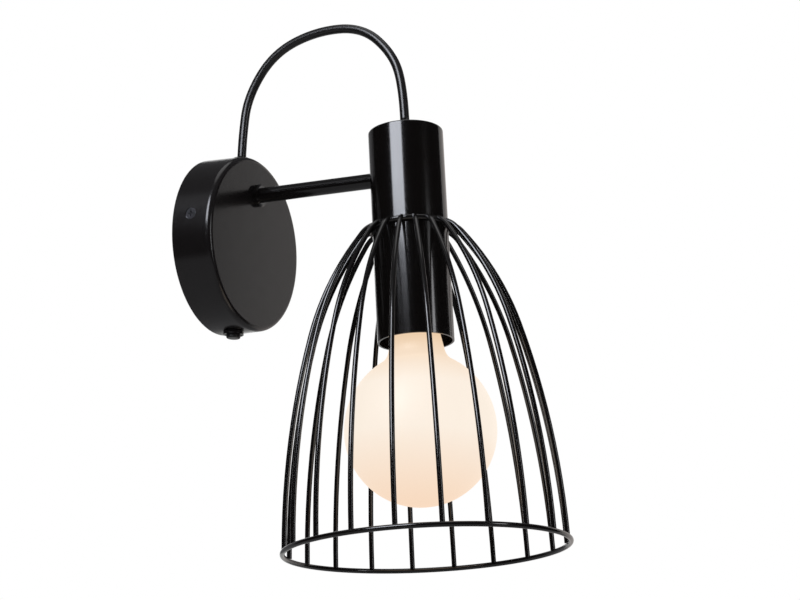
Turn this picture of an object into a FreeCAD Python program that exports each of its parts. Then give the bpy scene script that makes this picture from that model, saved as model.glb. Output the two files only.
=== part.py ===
import FreeCAD, Part
import math
import os
import re
import Sketcher
from FreeCAD import Placement, Rotation, Vector

# Cage wall light: a shallow round canopy, a straight arm, and a tall sleeve on its end that carries an
# E27 globe bulb inside a bell of wires. A stiff cable arches from the canopy into the sleeve's top.
#
# Frame, in millimetres: the origin is the centre of the canopy's back, on the wall. The wall is the
# plane y = 0, the light stands out along -Y, +Z is up and x = 0 is the light's middle plane.
#
# The head (sleeve, lampholder, bulb and cage) is drawn in a frame of its own. Its origin is the pivot,
# where the arm's axis meets the sleeve's, and its z axis is the sleeve's. That frame leans by
# head_lean about X, so the foot of the cage stands further from the wall than the sleeve's top.

# ---------------------------------------------------------------------------------------------------
# Driving sizes: name, value in millimetres or degrees, meaning

SIZES = [
    ("fit", 0.02, "gap between pieces that are screwed, pressed or welded together"),
    ("turn_gap", 0.1, "running gap where one piece turns or slides on another"),
    ("overcut", 1, "how far the tool of a hole reaches past the piece"),

    ("canopy_radius", 58.7, "canopy, outer radius at the wall"),
    ("canopy_taper", 0.6, "how much smaller that radius is at the front"),
    ("canopy_depth", 28, "canopy, from the wall to its front"),
    ("canopy_wall", 1.2, "canopy, sheet thickness"),
    ("canopy_edge", 3.5, "canopy, outer radius of the rounded front edge"),

    ("fixing_height", 7, "wall strap and side screws, height above the canopy's centre"),
    ("strap_wall", 1.5, "wall bracket, sheet thickness"),
    ("strap_width", 18, "wall bracket, width of the strap"),
    ("strap_bend", 2.5, "wall bracket, outer radius of its bends"),
    ("tab_width", 10, "wall bracket, width of the folded tabs"),
    ("tab_depth", 20, "wall bracket, how far the tabs stand out from the wall"),
    ("tab_slack", 0.3, "room between a tab's corner and the canopy"),
    ("slot_spacing", 60, "wall slots, centre to centre"),
    ("slot_length", 10, "wall slots, overall length"),
    ("slot_width", 4.6, "wall slots, width"),
    ("feed_radius", 6, "wall bracket, hole for the supply"),
    ("tongue_width", 12, "wall bracket, width of the tongue under the strap"),
    ("tongue_drop", 28, "wall bracket, how far the tongue reaches below the centre"),

    ("side_screw_depth", 13, "side screws, distance from the wall"),
    ("side_screw_radius", 2, "side screws, shank radius"),
    ("side_screw_head", 3.8, "side screws, head radius"),
    ("side_screw_cone", 1.8, "side screws, height of the countersunk head"),
    ("side_screw_sink", 0.65, "side screws, how deep the head lies under the canopy's surface"),
    ("side_screw_length", 11, "side screws, overall length"),
    ("recess_length", 4.4, "side screws, span of the cross recess"),
    ("recess_width", 0.9, "side screws, width of the cross recess"),
    ("recess_depth", 1, "side screws, depth of the cross recess"),
    ("earth_place", 16, "earth screw, distance from the middle plane"),
    ("earth_radius", 2, "earth screw, shank radius"),
    ("earth_head", 4, "earth screw, head radius"),
    ("earth_head_height", 2.4, "earth screw, head height"),

    ("block_width", 27, "terminal block, width"),
    ("block_height", 14, "terminal block, height"),
    ("block_depth", 12, "terminal block, depth"),
    ("block_drop", 20, "terminal block, centre below the canopy's centre"),
    ("pole_pitch", 9, "terminal block, distance between poles"),
    ("pole_radius", 1.6, "terminal block, radius of the wire tunnels"),
    ("pole_depth", 9, "terminal block, wire tunnels' distance from the wall"),
    ("clamp_radius", 1.9, "clamping screws, radius"),
    ("clamp_spacing", 8, "clamping screws of one pole, distance apart"),
    ("clamp_sink", 1, "clamping screws, depth under the block's face"),
    ("block_screw_radius", 1.5, "block's fixing screw, shank radius"),
    ("block_screw_head", 2.75, "block's fixing screw, head radius"),
    ("block_screw_head_height", 2, "block's fixing screw, head height"),

    ("arm_height", 33, "arm, axis above the canopy's centre"),
    ("arm_radius", 5, "arm, outer radius"),
    ("arm_wall", 1, "arm, wall thickness"),
    ("arm_start", 17.5, "arm, distance of its inner end from the wall"),
    ("reach", 139, "distance from the wall to the pivot of the head"),
    ("collar_radius", 7.5, "collar on the canopy's front, radius"),
    ("collar_width", 3.8, "collar on the canopy's front, width"),
    ("collar_chamfer", 1, "collar on the canopy's front, chamfer of its outer edge"),
    ("arm_washer_radius", 9, "washer inside the canopy, radius"),
    ("arm_washer_width", 1.2, "washer inside the canopy, thickness"),
    ("arm_nut_flats", 14, "nut inside the canopy, across flats"),
    ("arm_nut_width", 4, "nut inside the canopy, thickness"),
    ("stud_hold", 20, "stud, length held inside the arm"),
    ("stud_tip", 0.9, "stud, length that shows beyond its nut"),
    ("stud_nut_flats", 13, "stud nut, across flats"),
    ("stud_nut_width", 6.5, "stud nut, thickness"),
    ("spring_washer_radius", 6.4, "spring washer, radius"),
    ("spring_washer_width", 1.6, "spring washer, thickness"),

    ("head_lean", 4.2, "lean of the head about X, in degrees"),
    ("seat_width", 3, "ring between arm and sleeve, length along the arm"),
    ("saddle_radius", 8, "saddle washer inside the sleeve, radius"),
    ("saddle_rim", 0.35, "saddle washer, least thickness at its edge"),
    ("sleeve_radius", 24.2, "sleeve, outer radius"),
    ("sleeve_wall", 1.2, "sleeve, wall thickness"),
    ("sleeve_top", 30, "sleeve, top above the arm's axis"),
    ("sleeve_drop", 110, "sleeve, open foot below the arm's axis"),
    ("sleeve_edge", 1, "sleeve, radius of the top edge"),

    ("nipple_radius", 5, "threaded nipple, outer radius"),
    ("nipple_bore", 3.5, "threaded nipple, bore radius"),
    ("nipple_rise", 5.4, "threaded nipple, height above the sleeve's top"),
    ("nipple_nut_flats", 14, "nut under the sleeve's top, across flats"),
    ("nipple_nut_width", 3, "nut under the sleeve's top, thickness"),
    ("grip_radius", 6.5, "cord grip on the sleeve's top, radius"),
    ("grip_height", 7, "cord grip on the sleeve's top, height"),

    ("holder_drop", 46, "lampholder, top of its hub below the arm's axis"),
    ("hub_radius", 7.5, "lampholder, hub radius"),
    ("hub_height", 4, "lampholder, height of the hub above the dome"),
    ("hub_hold", 6, "lampholder, length of the nipple inside the hub"),
    ("holder_radius", 20, "lampholder, outer radius"),
    ("holder_wall", 2, "lampholder, wall thickness"),
    ("dome_height", 10, "lampholder, height of the dome's slope"),
    ("dome_rim", 8, "lampholder, height of the dome's straight rim"),
    ("base_lap", 2, "lampholder, how far the inner base goes up into the dome"),
    ("base_height", 7, "lampholder, thickness of the inner base"),
    ("skirt_height", 33, "lampholder, height of the skirt"),
    ("skirt_lip", 2, "lampholder, thickness of the skirt's inward lip"),
    ("thread_radius", 13.6, "lampholder, inner radius of the threaded shell"),
    ("thread_wall", 0.6, "lampholder, wall of the threaded shell"),
    ("thread_length", 24, "lampholder, length of the threaded shell"),
    ("thread_room", 0.4, "lampholder, gap between the threaded shell and the skirt's lip"),
    ("contact_radius", 2.5, "lampholder, radius of the centre contact"),
    ("contact_height", 1.2, "lampholder, height of the centre contact"),

    ("globe_radius", 47.5, "bulb, radius of the lower half"),
    ("globe_drop", 166.8, "bulb, centre of the globe below the arm's axis"),
    ("shoulder_radius", 50, "bulb, radius of the arc of the upper half"),
    ("neck_fillet", 8, "bulb, radius of the hollow between globe and neck"),
    ("neck_radius", 20, "bulb, radius of the neck's foot"),
    ("neck_foot", 48, "bulb, height of the neck's foot above the globe's centre"),
    ("neck_slope", 18.43, "bulb, slope of the neck, in degrees from its axis"),
    ("neck_top", 62.5, "bulb, height of the neck's top above the globe's centre"),
    ("glass_wall", 1, "bulb, thickness of the glass"),
    ("cap_radius", 13.2, "bulb, cap radius"),
    ("cap_wall", 0.5, "bulb, cap sheet thickness"),
    ("cap_start", 64, "bulb, foot of the cap above the globe's centre"),
    ("cap_length", 21, "bulb, cap length"),
    ("cap_shoulder", 1, "bulb, height of the cap's slope towards the insulator"),
    ("insulator_radius", 11, "bulb, foot radius of the insulator"),
    ("insulator_tip", 6, "bulb, top radius of the insulator"),
    ("insulator_height", 4.5, "bulb, height of the insulator"),
    ("bulb_contact_radius", 4.5, "bulb, radius of the end contact"),

    ("wire_radius", 1.6, "cage, radius of the wires and rings"),
    ("wire_count", 20, "cage, number of wires"),
    ("wire_turn", -4.5, "cage, direction of the first wire from the front, in degrees"),
    ("ring_radius", 88, "cage, midline radius of the bottom ring"),
    ("ring_drop", 240.5, "cage, bottom ring below the arm's axis"),
    ("top_ring_drop", 35.7, "cage, top ring below the arm's axis"),
    ("wire_inset", 1.2, "cage, how far inside the bottom ring's midline the wires land"),
    ("wire_lap", 0.9, "cage, height above the bottom ring's midline at which the wires end"),
    ("start_slope", 28, "cage, slope of a wire where it leaves the top ring, in degrees"),
    ("shoulder_slope", 52, "cage, slope of a wire below its shoulder, in degrees"),
    ("waist_slope", 74, "cage, slope of a wire between its two long arcs, in degrees"),
    ("foot_slope", 88.4, "cage, slope of a wire where it lands, in degrees"),
    ("shoulder_bend", 18, "cage, radius of a wire's shoulder"),

    ("cord_radius", 3, "cable, radius"),
    ("bush_depth", 14.5, "cable bush, distance from the wall"),
    ("bush_rise", 1.8, "cable bush, height above the canopy"),
    ("bush_flange", 6.5, "cable bush, radius of its flanges"),
    ("bush_neck", 4.9, "cable bush, radius in the canopy's hole"),
    ("bush_lip", 1.9, "cable bush, thickness of the inner flange"),
    ("bush_edge", 1, "cable bush, radius of its top edge"),
    ("tail_depth", 8.5, "cable inside the canopy, distance from the wall lower down"),

    ("switch_depth", 13.5, "switch, distance from the wall"),
    ("switch_radius", 8, "switch, body radius"),
    ("switch_height", 17.2, "switch, body height inside the canopy"),
    ("switch_bush", 5.8, "switch, radius of the bush through the canopy"),
    ("bezel_radius", 6.7, "switch, radius of the ring nut"),
    ("bezel_height", 2.1, "switch, height of the ring nut"),
    ("bezel_show", 0.2, "switch, how much the ring nut stands over the bush"),
    ("button_radius", 4.65, "push button, radius"),
    ("button_rise", 2.4, "push button, height outside the ring nut"),
    ("button_edge", 1, "push button, radius of its outer edge"),
    ("button_flange", 5.5, "push button, radius of its flange"),
    ("button_flange_height", 1.5, "push button, thickness of its flange"),
    ("chamber_radius", 6, "switch, radius of the spring chamber"),
    ("chamber_height", 6, "switch, height of the spring chamber"),
    ("chamber_floor_wall", 2.2, "switch, wall below the spring chamber"),
    ("spring_radius", 4, "switch spring, outer radius"),
    ("spring_wire", 0.75, "switch spring, wire thickness"),
    ("lead_radius", 1.1, "switch leads, radius"),
    ("lead_hold", 3, "switch leads, length inside the terminal block"),
]

# The free cable's route between the bush and the grip, in the plane x = 0: y and z, chosen by hand
CORD_ROUTE = [
    (-14.5, 76),
    (-17.5, 104.5),
    (-36.5, 132.5),
    (-68.5, 143.5),
    (-103.5, 141),
    (-126.5, 118.5),
    (-134.5, 94.5),
]

# The cable inside the canopy: heights of its two bends
TAIL_BENDS = (47.5, 28)

# An arc of the cable takes this share of the shorter run beside it
ARC_SHARE = 0.45

# ---------------------------------------------------------------------------------------------------
# Sizes worked out from the driving ones: name, formula

DERIVED = [
    # room inside the canopy
    ("canopy_inside", "canopy_depth - canopy_wall"),
    ("tab_reach", "sqrt((canopy_radius - canopy_wall - canopy_taper - tab_slack)^2"
                  " - (fixing_height + tab_width / 2)^2)"),
    ("side_radius", "canopy_radius - canopy_taper * side_screw_depth / canopy_depth"),
    ("side_face", "sqrt(side_radius^2 - fixing_height^2) - side_screw_sink"),
    ("block_face", "strap_wall + block_depth"),
    ("block_shift", "pole_pitch / 2"),
    # hardware of the arm, as distances from the wall
    ("arm_washer_face", "canopy_inside - arm_washer_width"),
    ("arm_nut_face", "arm_washer_face - arm_nut_width"),
    ("arm_bore", "arm_radius - arm_wall"),
    ("stud_radius", "arm_bore - fit"),
    ("stud_hole", "stud_radius + turn_gap"),
    # the joint, as distances from the pivot towards the wall
    ("sleeve_face", "sleeve_radius / cos(head_lean * 1deg)"),
    ("seat_end", "sleeve_face + seat_width"),
    ("arm_end", "seat_end + turn_gap"),
    ("sleeve_bore", "sleeve_radius - sleeve_wall"),
    ("saddle_face", "sqrt(sleeve_bore^2 - saddle_radius^2)"
                    " - saddle_radius * tan(head_lean * 1deg) - saddle_rim"),
    ("spring_washer_end", "saddle_face - turn_gap"),
    ("stud_nut_end", "spring_washer_end - spring_washer_width"),
    ("stud_start", "stud_nut_end - stud_nut_width - stud_tip"),
    # heights in the head, counted down from the arm's axis
    ("top_inside", "sleeve_top - sleeve_wall"),
    ("dome_start", "holder_drop + hub_height"),
    ("dome_shoulder", "dome_start + dome_height"),
    ("dome_end", "dome_shoulder + dome_rim"),
    ("base_start", "dome_end - base_lap"),
    ("base_end", "base_start + base_height"),
    ("skirt_end", "dome_end + skirt_height"),
    ("nipple_end", "holder_drop + hub_hold"),
    ("cap_foot", "globe_drop - cap_start"),
    ("cap_end", "cap_foot - cap_length"),
    ("insulator_end", "cap_end - insulator_height"),
    ("bulb_tip", "base_end + contact_height + fit"),
    ("grip_top", "sleeve_top + grip_height"),
    # cage
    ("top_ring_radius", "sleeve_radius + fit + wire_radius"),
    # cable bush and switch, as distances from the canopy's axis
    ("bush_seat", "canopy_radius - canopy_taper * (bush_depth - bush_flange) / canopy_depth + fit"),
    ("bush_under", "sqrt((canopy_radius - canopy_wall"
                   " - canopy_taper * (bush_depth + bush_flange) / canopy_depth)^2"
                   " - bush_flange^2) - fit"),
    ("bush_top", "canopy_radius + bush_rise"),
    ("cord_hole", "cord_radius + turn_gap"),
    ("switch_seat", "canopy_radius - canopy_taper * (switch_depth - bezel_radius) / canopy_depth + fit"),
    ("switch_under", "sqrt((canopy_radius - canopy_wall"
                     " - canopy_taper * (switch_depth + switch_radius) / canopy_depth)^2"
                     " - switch_radius^2) - fit"),
    ("bezel_end", "switch_seat + bezel_height"),
    ("button_end", "bezel_end + button_rise"),
    ("switch_start", "switch_under - switch_height"),
    ("chamber_floor", "switch_under - chamber_floor_wall"),
    ("chamber_ceiling", "chamber_floor - chamber_height"),
    ("flange_floor", "chamber_floor - turn_gap"),
    ("flange_ceiling", "flange_floor - button_flange_height"),
]

# ---------------------------------------------------------------------------------------------------
# The document and its sizes

doc = FreeCAD.newDocument("cage_wall_light")

sheet = doc.addObject("Spreadsheet::Sheet", "sizes")
for row, (name, value, meaning) in enumerate(SIZES, start=1):
    sheet.set("A%d" % row, name)
    sheet.set("B%d" % row, str(value))
    sheet.set("C%d" % row, meaning)
    sheet.setAlias("B%d" % row, name)
doc.recompute()

HOMES = {name: "sizes." for name, value, meaning in SIZES}
HOMES.update({name: "derived." for name, formula in DERIVED})


def bound(formula):
    """The formula with each size's name led by the object that holds it."""
    return re.sub("[a-z_]+", lambda found: HOMES.get(found.group(), "") + found.group(), formula)


derived = doc.addObject("App::VarSet", "derived")
for name, formula in DERIVED:
    derived.addProperty("App::PropertyFloat", name, "Derived")
    derived.setExpression(name, bound(formula))

scratch = doc.addObject("App::VarSet", "scratch")
scratch.addProperty("App::PropertyFloat", "result", "Derived")
doc.recompute()


def number(formula):
    """The value of a formula, worked out by the document."""
    scratch.setExpression("result", bound(str(formula)))
    scratch.recompute()
    return scratch.result


# ---------------------------------------------------------------------------------------------------
# Shapes bound to the sizes

SUBPARTS = []

X_AXIS = Vector(1, 0, 0)
Y_AXIS = Vector(0, 1, 0)
Z_AXIS = Vector(0, 0, 1)

OUTWARD = Rotation(X_AXIS, 90)
RIGHTWARD = Rotation(Y_AXIS, 90)

LEFT = 1
RIGHT = -1


def primitive(kind, label, **formulas):
    """A Part primitive with every size bound to a formula."""
    thing = doc.addObject("Part::" + kind, label)
    for name, formula in formulas.items():
        thing.setExpression(name, bound(str(formula)))
    return thing


def cylinder(label, radius, height):
    return primitive("Cylinder", label, Radius=radius, Height=height)


def box(label, length, width, height):
    return primitive("Box", label, Length=length, Width=width, Height=height)


def hexagon(label, flats, height):
    """A hexagonal bar of a given width across its flats."""
    thing = primitive("Prism", label, Circumradius="(%s) / 2 / cos(30deg)" % flats, Height=height)
    thing.Polygon = 6
    return thing


def place(thing, x="0", y="0", z="0", rotation=None):
    """Put a thing where three formulas say."""
    thing.Placement = Placement(Vector(), rotation or Rotation())
    for name, formula in (("x", x), ("y", y), ("z", z)):
        thing.setExpression("Placement.Base." + name, bound(formula))
    return thing


def hang(thing, drop="0"):
    """Move a thing drawn in the head's frame to the head, a given length down the head's axis."""
    thing.Placement = Placement(Vector(), Rotation(X_AXIS, -1))
    thing.setExpression("Placement.Base.y", bound("-reach - (%s) * sin(head_lean * 1deg)" % drop))
    thing.setExpression("Placement.Base.z", bound("arm_height - (%s) * cos(head_lean * 1deg)" % drop))
    thing.setExpression("Placement.Rotation.Angle", bound("-head_lean"))
    return thing


def along_arm(thing):
    """Lay a thing of the head's frame along the arm, from the pivot towards the wall."""
    thing.Placement = Placement(Vector(), Rotation(X_AXIS, -80))
    thing.setExpression("Placement.Rotation.Angle", bound("head_lean - 90"))
    return thing


def from_pivot(thing, start):
    """Lay a thing along the arm towards the wall, a given distance from the pivot."""
    return place(thing, y="-reach + " + start, z="arm_height", rotation=Rotation(X_AXIS, -90))


def mirrored(thing):
    """The same piece on the other side of the middle plane."""
    image = doc.addObject("Part::Mirroring", thing.Label + "_mirrored")
    image.Source = thing
    image.Normal = X_AXIS
    return image


def fused(label, things):
    whole = doc.addObject("Part::MultiFuse", label)
    whole.Shapes = things
    return whole


def grouped(label, things):
    """Several separate solids of one kind."""
    group = doc.addObject("Part::Compound", label)
    group.Links = things
    return group


def cut(label, base, tools):
    """A piece with holes: the base without the tools."""
    piece = doc.addObject("Part::Cut", label)
    piece.Base = base
    piece.Tool = tools[0] if len(tools) == 1 else fused(label + "_tools", tools)
    return piece


def common(label, first, second):
    piece = doc.addObject("Part::MultiCommon", label)
    piece.Shapes = [first, second]
    return piece


def plane_of(body, role):
    """One of the body's origin planes."""
    return next(plane for plane in body.Origin.OriginFeatures if plane.Role == role)


def arc_between(start, end, radius, turn):
    """The short arc from start to end, turning left or right."""
    chord = end - start
    middle = (start + end) / 2
    height = math.sqrt(max(radius ** 2 - (chord.Length / 2) ** 2, 0))
    side = Vector(-chord.y, chord.x, 0) / chord.Length * turn
    centre = middle + side * height
    first, last = (start, end) if turn == LEFT else (end, start)
    circle = Part.Circle(centre, Z_AXIS, radius)
    return Part.ArcOfCircle(circle, *[math.atan2(p.y - centre.y, p.x - centre.x) for p in (first, last)])


def hold(sketch, kind, axis, edge, end, formula):
    """Bind one coordinate of an edge's end to a formula."""
    value = number(formula)
    if abs(value) < 1e-9:
        sketch.addConstraint(Sketcher.Constraint("PointOnObject", edge, end, axis))
        return
    index = sketch.addConstraint(Sketcher.Constraint(kind, -1, 1, edge, end, value))
    name = "%s%d" % (kind, edge)
    sketch.renameConstraint(index, name)
    sketch.setExpression("Constraints." + name, bound(formula))


def draw_outline(sketch, corners):
    """A closed outline of lines and arcs, with each corner and radius bound to a formula.

    A corner is (across, up), or (across, up, radius, turn) when an arc leaves it. The turn is LEFT
    or RIGHT, as somebody walking round the outline would turn.
    """
    points = [Vector(number(corner[0]), number(corner[1]), 0) for corner in corners]
    ends = []
    for corner, start, end in zip(corners, points, points[1:] + points[:1]):
        if len(corner) == 2:
            sketch.addGeometry(Part.LineSegment(start, end), False)
            ends.append((1, 2))
        else:
            sketch.addGeometry(arc_between(start, end, number(corner[2]), corner[3]), False)
            ends.append((1, 2) if corner[3] == LEFT else (2, 1))
    for edge in range(len(corners)):
        following = (edge + 1) % len(corners)
        sketch.addConstraint(
            Sketcher.Constraint("Coincident", edge, ends[edge][1], following, ends[following][0]))
    for edge, corner in enumerate(corners):
        hold(sketch, "DistanceX", -2, edge, ends[edge][0], corner[0])
        hold(sketch, "DistanceY", -1, edge, ends[edge][0], corner[1])
        if len(corner) > 2:
            index = sketch.addConstraint(Sketcher.Constraint("Radius", edge, number(corner[2])))
            sketch.renameConstraint(index, "Radius%d" % edge)
            sketch.setExpression("Constraints.Radius%d" % edge, bound(corner[2]))


def outlined_body(label, plane, corners):
    """A body and its sketch, on one of the body's own planes."""
    body = doc.addObject("PartDesign::Body", label)
    sketch = body.newObject("Sketcher::SketchObject", label + "_outline")
    sketch.AttachmentSupport = (plane_of(body, plane), [""])
    sketch.MapMode = "FlatFace"
    draw_outline(sketch, corners)
    return body, sketch


def turned(label, corners, plane="XZ_Plane"):
    """A turned piece: the outline goes once round the plane's upright axis."""
    body, sketch = outlined_body(label, plane, corners)
    turning = body.newObject("PartDesign::Revolution", label + "_turning")
    turning.Profile = sketch
    turning.ReferenceAxis = (sketch, ["V_Axis"])
    turning.Angle = 360
    return body


def turned_ring(label, inner, outer, low, high):
    """A turned piece with a plain rectangular section."""
    return turned(label, [(inner, low), (outer, low), (outer, high), (inner, high)])


def padded(label, corners, thickness, plane="XY_Plane"):
    """An outline given a thickness."""
    body, sketch = outlined_body(label, plane, corners)
    pad = body.newObject("PartDesign::Pad", label + "_pad")
    pad.Profile = sketch
    pad.setExpression("Length", bound(thickness))
    return body


def subpart(label, thing):
    """Give a finished piece its name."""
    thing.Label = label
    SUBPARTS.append(thing)
    return thing


def set_shape(label, shape):
    """A piece whose shape is made by functions of its own."""
    thing = doc.addObject("Part::Feature", label)
    thing.Shape = shape
    return thing


# ---------------------------------------------------------------------------------------------------
# Canopy

def make_canopy_shell():
    """A spun cup, a little narrower at its front, with a rounded edge and five holes."""
    front = "-canopy_depth"
    bend = "-(canopy_depth - canopy_edge)"
    rim = "canopy_radius - canopy_taper"
    cup = turned("canopy_cup", [
        ("0", front),
        ("%s - canopy_edge" % rim, front, "canopy_edge", LEFT),
        (rim, bend),
        ("canopy_radius", "0"),
        ("canopy_radius - canopy_wall", "0"),
        ("%s - canopy_wall" % rim, bend, "canopy_edge - canopy_wall", RIGHT),
        ("%s - canopy_edge" % rim, "-canopy_inside"),
        ("0", "-canopy_inside"),
    ], plane="XY_Plane")
    arm_hole = place(cylinder("canopy_arm_hole", "arm_radius + fit", "canopy_depth + overcut"),
                     z="arm_height", rotation=OUTWARD)
    cord_hole = place(cylinder("canopy_cord_hole", "bush_neck + fit", "canopy_radius"),
                      y="-bush_depth", z="bush_flange")
    switch_hole = place(cylinder("canopy_switch_hole", "switch_bush + fit", "canopy_radius"),
                        y="-switch_depth", z="-canopy_radius - switch_radius")
    countersink = place(primitive("Cone", "canopy_countersink", Radius1="side_screw_radius + fit",
                                  Radius2="side_screw_head + fit", Height="side_screw_cone"),
                        x="side_face - side_screw_cone", y="-side_screw_depth",
                        z="fixing_height", rotation=RIGHTWARD)
    recess = place(cylinder("canopy_recess", "side_screw_head + fit", "side_screw_sink + canopy_wall"),
                   x="side_face", y="-side_screw_depth", z="fixing_height", rotation=RIGHTWARD)
    side_hole = fused("canopy_side_hole", [countersink, recess])
    holes = [arm_hole, cord_hole, switch_hole, side_hole, mirrored(side_hole)]
    return subpart("canopy_shell", cut("canopy_shell_cut", cup, holes))


def make_wall_bracket():
    """A folded strap with two tabs for the side screws and a tongue for the terminal block."""
    bend = "-strap_bend"
    inner_bend = "strap_bend - strap_wall"
    inside = "tab_reach - strap_wall"
    flat_end = "tab_reach - strap_bend"
    folded = padded("bracket_fold", [
        (flat_end, "0", "strap_bend", RIGHT),
        ("tab_reach", bend),
        ("tab_reach", "-tab_depth"),
        (inside, "-tab_depth"),
        (inside, bend, inner_bend, LEFT),
        (flat_end, "-strap_wall"),
        ("-(%s)" % flat_end, "-strap_wall", inner_bend, LEFT),
        ("-(%s)" % inside, bend),
        ("-(%s)" % inside, "-tab_depth"),
        ("-tab_reach", "-tab_depth"),
        ("-tab_reach", bend, "strap_bend", RIGHT),
        ("-(%s)" % flat_end, "0"),
    ], "tab_width")
    place(folded, z="fixing_height - tab_width / 2")
    strap = place(box("bracket_strap", "2 * (%s)" % flat_end, "strap_wall", "strap_width"),
                  x="-(%s)" % flat_end, y="-strap_wall", z="fixing_height - strap_width / 2")
    tongue = place(box("bracket_tongue", "tongue_width", "strap_wall", "tongue_drop + fixing_height"),
                   x="-tongue_width / 2", y="-strap_wall", z="-tongue_drop")
    blank = fused("bracket_blank", [folded, strap, tongue])

    through = "strap_wall + 2 * overcut"
    slot_reach = "(slot_length - slot_width) / 2"
    slot_holes = []
    for side in ("-", "+"):
        centre = "%s slot_spacing / 2" % side
        for end in ("-", "+"):
            hole = cylinder("slot_end", "slot_width / 2", through)
            slot_holes.append(place(hole, x="%s %s %s" % (centre, end, slot_reach), y="overcut",
                                    z="fixing_height", rotation=OUTWARD))
        middle = box("slot_middle", "slot_length - slot_width", through, "slot_width")
        slot_holes.append(place(middle, x="%s - %s" % (centre, slot_reach), y="-strap_wall - overcut",
                                z="fixing_height - slot_width / 2"))
    feed_hole = place(cylinder("feed_hole", "feed_radius", through),
                      y="overcut", z="fixing_height", rotation=OUTWARD)
    earth_hole = place(cylinder("earth_hole", "earth_radius + fit", through),
                       x="earth_place", y="overcut", z="fixing_height", rotation=OUTWARD)
    block_hole = place(cylinder("block_hole", "block_screw_radius + fit", through),
                       y="overcut", z="-block_drop", rotation=OUTWARD)
    side_hole = place(cylinder("tab_hole", "side_screw_radius + fit", "2 * canopy_radius"),
                      x="-canopy_radius", y="-side_screw_depth", z="fixing_height",
                      rotation=RIGHTWARD)
    tools = slot_holes + [feed_hole, earth_hole, block_hole, side_hole]
    return subpart("wall_bracket", cut("wall_bracket_cut", blank, tools))


def make_canopy_screws():
    """A countersunk screw with a cross recess in each side of the canopy."""
    head = place(primitive("Cone", "side_screw_cone_head", Radius1="side_screw_radius",
                           Radius2="side_screw_head", Height="side_screw_cone"),
                 x="side_face - side_screw_cone", y="-side_screw_depth", z="fixing_height",
                 rotation=RIGHTWARD)
    shank = place(cylinder("side_screw_shank", "side_screw_radius",
                           "side_screw_length - side_screw_cone"),
                  x="side_face - side_screw_length", y="-side_screw_depth", z="fixing_height",
                  rotation=RIGHTWARD)
    flat_bar = place(box("recess_flat", "recess_depth + overcut", "recess_length", "recess_width"),
                     x="side_face - recess_depth", y="-side_screw_depth - recess_length / 2",
                     z="fixing_height - recess_width / 2")
    upright_bar = place(box("recess_upright", "recess_depth + overcut", "recess_width", "recess_length"),
                        x="side_face - recess_depth", y="-side_screw_depth - recess_width / 2",
                        z="fixing_height - recess_length / 2")
    blank = fused("side_screw_blank", [head, shank])
    screw = cut("side_screw", blank, [flat_bar, upright_bar])
    return subpart("canopy_screws", grouped("side_screws", [screw, mirrored(screw)]))


def make_earth_screw():
    """A pan head screw in the strap, for the earth wire."""
    head = place(cylinder("earth_screw_head", "earth_head", "earth_head_height"),
                 x="earth_place", y="-strap_wall", z="fixing_height", rotation=OUTWARD)
    shank = place(cylinder("earth_screw_shank", "earth_radius", "strap_wall + overcut"),
                  x="earth_place", y="-fit", z="fixing_height", rotation=OUTWARD)
    return subpart("earth_screw", fused("earth_screw_whole", [head, shank]))


def make_terminal_block():
    """A block of three poles, each with a wire tunnel and two wells for its clamping screws."""
    blank = place(box("block_blank", "block_width", "block_depth - fit", "block_height"),
                  x="block_shift - block_width / 2", y="-block_face",
                  z="-block_drop - block_height / 2")
    tools = []
    for pole in (-1, 0, 1):
        across = "block_shift + %d * pole_pitch" % pole
        tunnel = cylinder("tunnel", "pole_radius", "block_height + 2 * overcut")
        tools.append(place(tunnel, x=across, y="-pole_depth",
                           z="-block_drop - block_height / 2 - overcut"))
        for side in ("-", "+"):
            well = cylinder("well", "clamp_radius + fit", "block_face - pole_depth + overcut")
            tools.append(place(well, x=across, y="-pole_depth",
                               z="-block_drop %s clamp_spacing / 2" % side, rotation=OUTWARD))
    tools.append(place(cylinder("block_screw_hole", "block_screw_radius + fit", "block_face + overcut"),
                       z="-block_drop", rotation=OUTWARD))
    return subpart("terminal_block", cut("terminal_block_cut", blank, tools))


def make_terminal_screws():
    """Six clamping screws in the block's wells, each down to the wire tunnel."""
    screws = []
    for pole in (-1, 0, 1):
        for side in ("-", "+"):
            screw = cylinder("clamp_screw", "clamp_radius",
                             "block_face - clamp_sink - pole_depth - pole_radius")
            screws.append(place(screw, x="block_shift + %d * pole_pitch" % pole,
                                y="-pole_depth - pole_radius",
                                z="-block_drop %s clamp_spacing / 2" % side, rotation=OUTWARD))
    return subpart("terminal_screws", grouped("clamp_screws", screws))


def make_block_screw():
    """The screw that holds the terminal block on the bracket's tongue."""
    head = place(cylinder("block_screw_head_disc", "block_screw_head", "block_screw_head_height"),
                 y="-block_face - fit", z="-block_drop", rotation=OUTWARD)
    shank = place(cylinder("block_screw_shank", "block_screw_radius", "block_face + overcut"),
                  y="-fit", z="-block_drop", rotation=OUTWARD)
    return subpart("terminal_fix_screw", fused("terminal_fix_screw_whole", [head, shank]))


# ---------------------------------------------------------------------------------------------------
# Arm

def make_arm_tube():
    """The straight tube, from inside the canopy to just short of the seat ring."""
    length = "reach - arm_end - arm_start"
    bar = place(cylinder("arm_bar", "arm_radius", length), y="-arm_start", z="arm_height",
                rotation=OUTWARD)
    bore = place(cylinder("arm_bore_tool", "arm_bore", "%s + 2 * overcut" % length),
                 y="-arm_start + overcut",
                 z="arm_height", rotation=OUTWARD)
    return subpart("arm_tube", cut("arm_tube_cut", bar, [bore]))


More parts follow.
